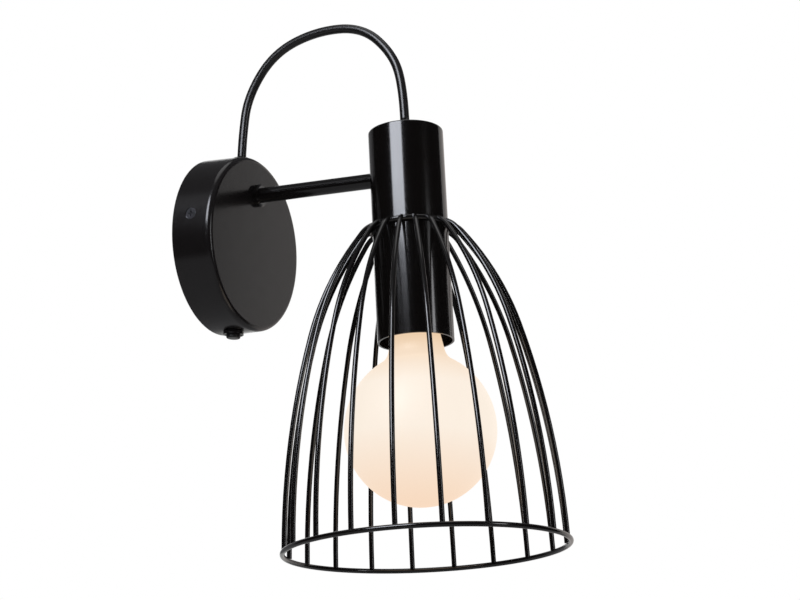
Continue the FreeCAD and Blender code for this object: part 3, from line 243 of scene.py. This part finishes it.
def opal_glass(glow, low_glow, warm_glow, strength, centre):
    """Etched opal glass, lit from inside: cream and even, warmer at its foot and up at the neck."""
    material, tree, output, place = new_material("Lit Opal Glass")
    height = add(tree, "ShaderNodeMapping", {"Location": (-centre.x, -centre.y, -centre.z)},
                 {"Vector": place})
    split = add(tree, "ShaderNodeSeparateXYZ", links={"Vector": height.outputs[0]})
    rise = share_of(tree, split.outputs["Z"], NECK_GLOW)
    depth = share_of(tree, split.outputs["Z"], FOOT_GLOW)
    lower = add(tree, "ShaderNodeMix", {"data_type": "RGBA", 6: glow, 7: low_glow},
                {"Factor": depth})
    light = add(tree, "ShaderNodeMix", {"data_type": "RGBA", 7: warm_glow},
                {"Factor": rise, 6: lower.outputs[2]})
    shader = add(tree, "ShaderNodeBsdfPrincipled",
                 {"Base Color": colour(UNLIT_GLASS), "Roughness": 0.55, "IOR": 1.5,
                  "Emission Strength": strength},
                 {"Emission Color": light.outputs[2]})
    tree.links.new(shader.outputs[0], output.inputs[0])
    return material


def finish_nodes(material, *names):
    """Give CAD nodes a finish."""
    for name in names:
        slots = NODES[name].material_slots
        if slots:
            for place in slots:
                place.material = material
        else:
            NODES[name].data.materials.append(material)


def settings():
    """The settings that the panel shows."""
    return bpy.context.scene.wall_light


def new_piece(name, body, material, slot, *replaced):
    """Start a modelled piece: its object, its body, its finish and the nodes that it stands for."""
    piece = bpy.data.objects.new(name, bpy.data.meshes.new(name))
    bpy.context.collection.objects.link(piece)
    piece.data.materials.append(material)
    if body:
        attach(piece, body)
    if replaced:
        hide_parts(*replaced)
    return piece


# Vertices closer than this are one, in metres
MERGE_DISTANCE = 1e-6


def finish_mesh(piece, mesh, place=Matrix()):
    """Close a bmesh: merge its doubles, put it in its place, turn its faces outwards."""
    bmesh.ops.remove_doubles(mesh, verts=mesh.verts, dist=MERGE_DISTANCE)
    bmesh.ops.transform(mesh, matrix=place, verts=mesh.verts)
    bmesh.ops.recalc_face_normals(mesh, faces=mesh.faces)
    for face in mesh.faces:
        face.smooth = True
    mesh.to_mesh(piece.data)
    mesh.free()


def spin_outline(mesh, outline, steps, angle=math.tau):
    """Turn an outline of (radius, height) points round the z axis."""
    points = [mesh.verts.new((radius, 0, height)) for radius, height in outline]
    edges = [mesh.edges.new(pair) for pair in zip(points, points[1:])]
    bmesh.ops.spin(mesh, geom=points + edges, cent=(0, 0, 0), axis=(0, 0, 1),
                   angle=angle, steps=steps, use_merge=angle == math.tau)


# ---------------------------------------------------------------------------------------------------
# Cable

# Control points of the free cable, in metres: the bush's top, the arch, and the grip's top
GRIP_TOP = HEAD @ Vector((0, 0, 37 * MM))
CABLE_ROUTE = [
    (0, -0.0145, 0.0605),
    (0, -0.0145, 0.0760),
    (0, -0.0175, 0.1045),
    (0, -0.0365, 0.1325),
    (0, -0.0685, 0.1435),
    (0, -0.1035, 0.1410),
    (0, -0.1265, 0.1185),
    (0, -0.1345, 0.0945),
    tuple(GRIP_TOP),
]


class WALLLIGHT_OT_cable(bpy.types.Operator):
    """Lay the stiff cable in its arch from the canopy to the sleeve"""
    bl_idname = "wall_light.cable"
    bl_label = "Cable"

    def execute(self, context):
        chosen = settings().cable
        sheath = pvc_sheath(chosen.sheath)
        route = bpy.data.curves.new("cable_route", "CURVE")
        route.dimensions = "3D"
        route.resolution_u = 16
        spline = route.splines.new("NURBS")
        spline.points.add(len(CABLE_ROUTE) - 1)
        for point, place in zip(spline.points, CABLE_ROUTE):
            point.co = (*place, 1)
        spline.order_u = 3
        spline.use_endpoint_u = True
        line = bpy.data.objects.new("cable_route", route)
        path = [tuple(vertex.co) for vertex in bpy.data.meshes.new_from_object(line).vertices]
        route.bevel_depth = chosen.radius
        route.bevel_resolution = 6
        route.use_fill_caps = True
        cable = new_piece("cable", None, sheath, "cable_black", "cord")
        mesh = bmesh.new()
        mesh.from_mesh(bpy.data.meshes.new_from_object(line))
        finish_mesh(cable, mesh)
        bpy.data.objects.remove(line)
        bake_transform(cable)
        finish_nodes(sheath, "canopy_cord_tail", "head_cord_tail", "switch_leads")
        return {"FINISHED"}


# ---------------------------------------------------------------------------------------------------
# Bulb

# The glass above its widest ring, as (radius, height) from the globe's centre: a long shoulder, a
# hollow that leads into the neck, the neck's slope in degrees, its top and the lip on it
SHOULDER_RADIUS = 50 * MM
HOLLOW_CENTRE = (29.46 * MM, 53.13 * MM)
HOLLOW_RADIUS = 12 * MM
NECK_SLOPE = 12
NECK_TOP = (15.2 * MM, 62.5 * MM)
NECK_LIP = [(13.2 * MM, 63.98 * MM), (12.2 * MM, 63.98 * MM)]
GLASS_WALL = 1 * MM
GLOBE_STEPS = 96


def arc(centre, radius, first, last, steps):
    """Points on an arc, as (radius, height), from one angle to another in degrees."""
    angles = [math.radians(first + (last - first) * step / steps) for step in range(steps + 1)]
    return [(centre[0] + radius * math.cos(a), centre[1] + radius * math.sin(a)) for a in angles]


def globe_outline(ball, inset=0.0):
    """The globe from its bottom to the top of its neck, moved inwards by an inset."""
    centre = (ball - SHOULDER_RADIUS, 0)
    shoulder_end = math.degrees(math.atan2(HOLLOW_CENTRE[1], HOLLOW_CENTRE[0] - centre[0]))
    outline = arc((0, 0), ball - inset, -90, 0, 32)
    outline += arc(centre, SHOULDER_RADIUS - inset, 0, shoulder_end, 24)[1:]
    outline += arc(HOLLOW_CENTRE, HOLLOW_RADIUS + inset, 180 + shoulder_end, 180 + NECK_SLOPE, 8)[1:]
    outline.append((NECK_TOP[0] - inset, NECK_TOP[1] - inset))
    return outline


class WALLLIGHT_OT_bulb(bpy.types.Operator):
    """Blow the opal globe and finish its cap"""
    bl_idname = "wall_light.bulb"
    bl_label = "Bulb"

    def execute(self, context):
        chosen = settings().bulb
        place = HEAD @ Matrix.Translation((0, 0, -chosen.drop))
        glass = opal_glass(chosen.glow, chosen.low_glow, chosen.warm_glow, chosen.strength,
                           place.translation)
        globe = new_piece("opal_globe", "head", glass, "opal_glass", "bulb_globe")
        mesh = bmesh.new()
        outside = globe_outline(chosen.radius)
        inside = globe_outline(chosen.radius, GLASS_WALL)
        spin_outline(mesh, outside + NECK_LIP + inside[::-1], GLOBE_STEPS)
        finish_mesh(globe, mesh, place)
        nickel = plated_metal("Nickel Plate", settings().finish.nickel, 6 * MM, 0.2, 0.35)
        vitrite = moulded("Black Moulded Glass", settings().finish.vitrite, 0.1, 0.2)
        finish_nodes(nickel, "bulb_cap")
        finish_nodes(vitrite, "bulb_insulator")
        return {"FINISHED"}


# ---------------------------------------------------------------------------------------------------
# Finishes of the CAD nodes


class WALLLIGHT_OT_metalwork(bpy.types.Operator):
    """Blacken the canopy, its screws, the arm, the sleeve and the cage"""
    bl_idname = "wall_light.metalwork"
    bl_label = "Metalwork"

    def execute(self, context):
        chosen = settings().finish
        finish_nodes(powder_coat(chosen.coat), "canopy_shell", "switch_nut")
        finish_nodes(plated_metal("Black Zinc Plate", chosen.black_zinc, 3 * MM, 0.25, 0.35),
                     "canopy_screws")
        finish_nodes(gloss_lacquer(chosen.lacquer), "sleeve", "seat_ring", "arm_tube", "arm_collar",
                     "cage_top_ring", "cage_wires", "cage_bottom_ring")
        return {"FINISHED"}


class WALLLIGHT_OT_hardware(bpy.types.Operator):
    """Finish the bracket, screws, nuts, washers, spring and contacts"""
    bl_idname = "wall_light.hardware"
    bl_label = "Hardware"

    def execute(self, context):
        chosen = settings().finish
        zinc = plated_metal("Zinc Plate", chosen.zinc, 4 * MM, 0.28, 0.42)
        brass = plated_metal("Bare Brass", chosen.brass, 5 * MM, 0.22, 0.35)
        finish_nodes(zinc, "wall_bracket", "earth_screw", "terminal_fix_screw", "arm_washer",
                     "arm_nut", "arm_stud", "stud_spring_washer", "stud_nut", "saddle_washer",
                     "head_nipple", "nipple_nut", "switch_spring")
        finish_nodes(brass, "terminal_screws", "thread_shell", "centre_contact", "bulb_contact")
        return {"FINISHED"}


class WALLLIGHT_OT_mouldings(bpy.types.Operator):
    """Finish the plastic and ceramic pieces"""
    bl_idname = "wall_light.mouldings"
    bl_label = "Mouldings"

    def execute(self, context):
        chosen = settings().finish
        plastic = moulded("Black Thermoplastic", chosen.plastic, 0.3, 0.42)
        nylon = moulded("Natural Nylon", chosen.nylon, 0.4, 0.5, 1.53)
        ceramic = moulded("Glazed Ceramic", chosen.ceramic, 0.12, 0.22, 1.52)
        finish_nodes(plastic, "cord_bush", "cord_grip", "switch_body", "switch_button",
                     "holder_dome", "holder_skirt")
        finish_nodes(nylon, "terminal_block")
        finish_nodes(ceramic, "holder_base")
        return {"FINISHED"}


# ---------------------------------------------------------------------------------------------------
# Camera and studio


# The camera that fits the photograph: its place, and its axes as right, up and back
CAMERA_PLACE = (-1.120607, -0.692834, -0.362457)
CAMERA_AXES = (
    (0.44118956, -0.89721808, 0.01874808),
    (-0.22646107, -0.09109411, 0.96975113),
    (-0.86837041, -0.43208978, -0.24337473),
)
SENSOR_WIDTH = 36

# The middle of the light, and the way to the camera in plan
MIDDLE = Vector((0, -0.12, -0.03))
TO_CAMERA = Vector((-1.1206, -0.6928, 0)).normalized()

FLOOR_HEIGHT = -0.8
FLOOR_REACH = 12
FLOOR_SHADE = "#f2f2f0"

# What the gloss mirrors: bright boxes, and dark, warm and grey sheets of felt. The white room stays
# open behind the light. Each is a name, a first and a last azimuth in degrees, an outline of (radius,
# height), a shade and a level
WALL = [(1.9, -0.78), (1.9, 1.3)]
CARDS = (
    ("tall_box", 161, 197, [(1.29, 0.38), (1.29, 1.3)], "#f1f5ff", 11),
    ("narrow_box", 120, 152, [(1.5, 0.9), (1.5, 1.8)], "#9a9b9e", 1),
    ("low_box", 259, 268, [(1.4, -0.1), (1.4, 0.46)], "#f6f7fa", 5),
    ("dark_felt", 85, 327, WALL, "#1a1919", 1),
    ("warm_felt", -31, 20, WALL, "#cbc5c2", 1),
    ("grey_felt", 44, 85, WALL, "#7c7c7e", 1),
    ("roof_felt", 0, 360, [(1.9, 1.3), (0.9, 2.3)], "#58585a", 1),
    ("floor_felt", 0, 360, [(1.9, -0.78), (0.05, -0.78)], "#8c8c8e", 1),
)
CARD_STEPS = 48


def aimed(position, target):
    """A matrix at a position whose -z axis points at a target, with its y axis upwards."""
    back = (position - target).normalized()
    right = Vector((0, 0, 1)).cross(back).normalized()
    turn = Matrix((right, back.cross(right), back)).transposed().to_4x4()
    return Matrix.Translation(position) @ turn


def around(turn, distance, height):
    """A point near the light: degrees round from the camera, a distance and a height in metres."""
    place = Matrix.Rotation(math.radians(turn), 3, "Z") @ TO_CAMERA * distance
    return MIDDLE + place + Vector((0, 0, height))


def area_light(name, position, width, height, power):
    """A white rectangular soft box that faces the light and shows in no reflection."""
    data = bpy.data.lights.new(name, "AREA")
    data.shape = "RECTANGLE"
    data.size = width
    data.size_y = height
    data.energy = power
    lamp = bpy.data.objects.new(name, data)
    bpy.context.collection.objects.link(lamp)
    lamp.matrix_world = aimed(position, MIDDLE)
    lamp.visible_glossy = False


class WALLLIGHT_OT_camera(bpy.types.Operator):
    """Set the camera at the photograph's place, below the light and looking up"""
    bl_idname = "wall_light.camera"
    bl_label = "Camera"

    def execute(self, context):
        data = bpy.data.cameras.new("camera")
        data.lens = settings().studio.lens
        data.sensor_width = SENSOR_WIDTH
        camera = bpy.data.objects.new("camera", data)
        bpy.context.collection.objects.link(camera)
        turn = Matrix(CAMERA_AXES).transposed().to_4x4()
        camera.matrix_world = Matrix.Translation(CAMERA_PLACE) @ turn
        bpy.context.scene.camera = camera
        return {"FINISHED"}


class WALLLIGHT_OT_stage(bpy.types.Operator):
    """Light the studio: a white room, a pale floor, soft boxes and sheets for the gloss to mirror"""
    bl_idname = "wall_light.stage"
    bl_label = "Stage"

    def execute(self, context):
        chosen = settings().studio
        self.make_world(chosen.room)
        self.make_floor()
        area_light("key box", around(-40, 1.3, 0.6), 0.8, 1.0, chosen.key_power)
        area_light("right box", around(62, 1.4, 0.2), 0.5, 0.8, chosen.fill_power)
        area_light("top box", MIDDLE + Vector((-0.2, -0.2, 1.4)), 1.2, 1.2, chosen.fill_power)
        for card in CARDS:
            self.make_card(*card)
        return {"FINISHED"}

    @staticmethod
    def make_world(strength):
        """A white backdrop for the camera and for reflections, and a softer room light for the rest."""
        world = bpy.data.worlds.new("room")
        world.use_nodes = True
        tree = world.node_tree
        tree.nodes.clear()
        rays = add(tree, "ShaderNodeLightPath")
        seen = add(tree, "ShaderNodeMath", {"operation": "MAXIMUM"},
                   {0: rays.outputs["Is Camera Ray"], 1: rays.outputs["Is Glossy Ray"]})
        shown = add(tree, "ShaderNodeMath", {"operation": "MAXIMUM"},
                    {0: seen.outputs[0], 1: rays.outputs["Is Transmission Ray"]})
        level = add(tree, "ShaderNodeMapRange", {"To Min": strength, "To Max": 1.0},
                    {"Value": shown.outputs[0]})
        background = add(tree, "ShaderNodeBackground", {"Color": (1, 1, 1, 1)},
                         {"Strength": level.outputs["Result"]})
        add(tree, "ShaderNodeOutputWorld", links={"Surface": background.outputs[0]})
        bpy.context.scene.world = world

    @staticmethod
    def make_card(name, first, last, outline, shade, level):
        """A bent sheet that shows only in reflections: an outline turned between two azimuths."""
        material, tree, output, place = new_material(name)
        paint = clouded_colour(tree, place, colour(shade), 400 * MM, 0.85, 1.1)
        glow = add(tree, "ShaderNodeEmission", {"Strength": level}, {"Color": paint})
        tree.links.new(glow.outputs[0], output.inputs[0])
        card = bpy.data.objects.new(name, bpy.data.meshes.new(name))
        bpy.context.collection.objects.link(card)
        mesh = bmesh.new()
        spin_outline(mesh, outline, CARD_STEPS, math.radians(last - first))
        turn = Matrix.Rotation(math.radians(first), 3, "Z")
        bmesh.ops.rotate(mesh, verts=mesh.verts, cent=(0, 0, 0), matrix=turn)
        mesh.to_mesh(card.data)
        mesh.free()
        card.data.materials.append(material)
        card.visible_camera = False
        card.visible_diffuse = False
        card.visible_shadow = False

    @staticmethod
    def make_floor():
        """A broad pale floor well below the light."""
        material, tree, output, place = new_material("Pale Floor")
        paint = clouded_colour(tree, place, colour(FLOOR_SHADE), 300 * MM, 0.98, 1.0)
        shader = add(tree, "ShaderNodeBsdfPrincipled", {"Roughness": 0.9}, {"Base Color": paint})
        tree.links.new(shader.outputs[0], output.inputs[0])
        floor = bpy.data.objects.new("floor", bpy.data.meshes.new("floor"))
        bpy.context.collection.objects.link(floor)
        mesh = bmesh.new()
        bmesh.ops.create_grid(mesh, x_segments=1, y_segments=1, size=FLOOR_REACH,
                              matrix=Matrix.Translation((0, 0, FLOOR_HEIGHT)))
        mesh.to_mesh(floor.data)
        mesh.free()
        floor.data.materials.append(material)


# ---------------------------------------------------------------------------------------------------
# Panel and registration


class WALLLIGHT_PT_panel(bpy.types.Panel):
    """The wall light's settings and steps"""
    bl_idname = "WALLLIGHT_PT_panel"
    bl_label = "Wall Light"
    bl_space_type = "VIEW_3D"
    bl_region_type = "UI"
    bl_category = "Wall Light"

    def draw(self, context):
        chosen = context.scene.wall_light
        for group in (chosen.cable, chosen.bulb, chosen.finish, chosen.studio):
            box = self.layout.box()
            for name in group.__annotations__:
                box.prop(group, name)
        for step in STEPS:
            self.layout.operator(step.bl_idname)


STEPS = (
    WALLLIGHT_OT_camera,
    WALLLIGHT_OT_cable,
    WALLLIGHT_OT_bulb,
    WALLLIGHT_OT_metalwork,
    WALLLIGHT_OT_hardware,
    WALLLIGHT_OT_mouldings,
    WALLLIGHT_OT_stage,
)
CLASSES = (CableSettings, BulbSettings, FinishSettings, StudioSettings, WallLightSettings,
           *STEPS, WALLLIGHT_PT_panel)


def register():
    for entry in CLASSES:
        bpy.utils.register_class(entry)
    bpy.types.Scene.wall_light = bpy.props.PointerProperty(type=WallLightSettings)


def unregister():
    del bpy.types.Scene.wall_light
    for entry in reversed(CLASSES):
        bpy.utils.unregister_class(entry)


def main():
    """Run every step in order."""
    register()
    bpy.context.scene.view_settings.view_transform = "Standard"
    bpy.ops.wall_light.camera()
    bpy.ops.wall_light.cable()
    bpy.ops.wall_light.bulb()
    bpy.ops.wall_light.metalwork()
    bpy.ops.wall_light.hardware()
    bpy.ops.wall_light.mouldings()
    bpy.ops.wall_light.stage()


if __name__ == "__main__":
    main()
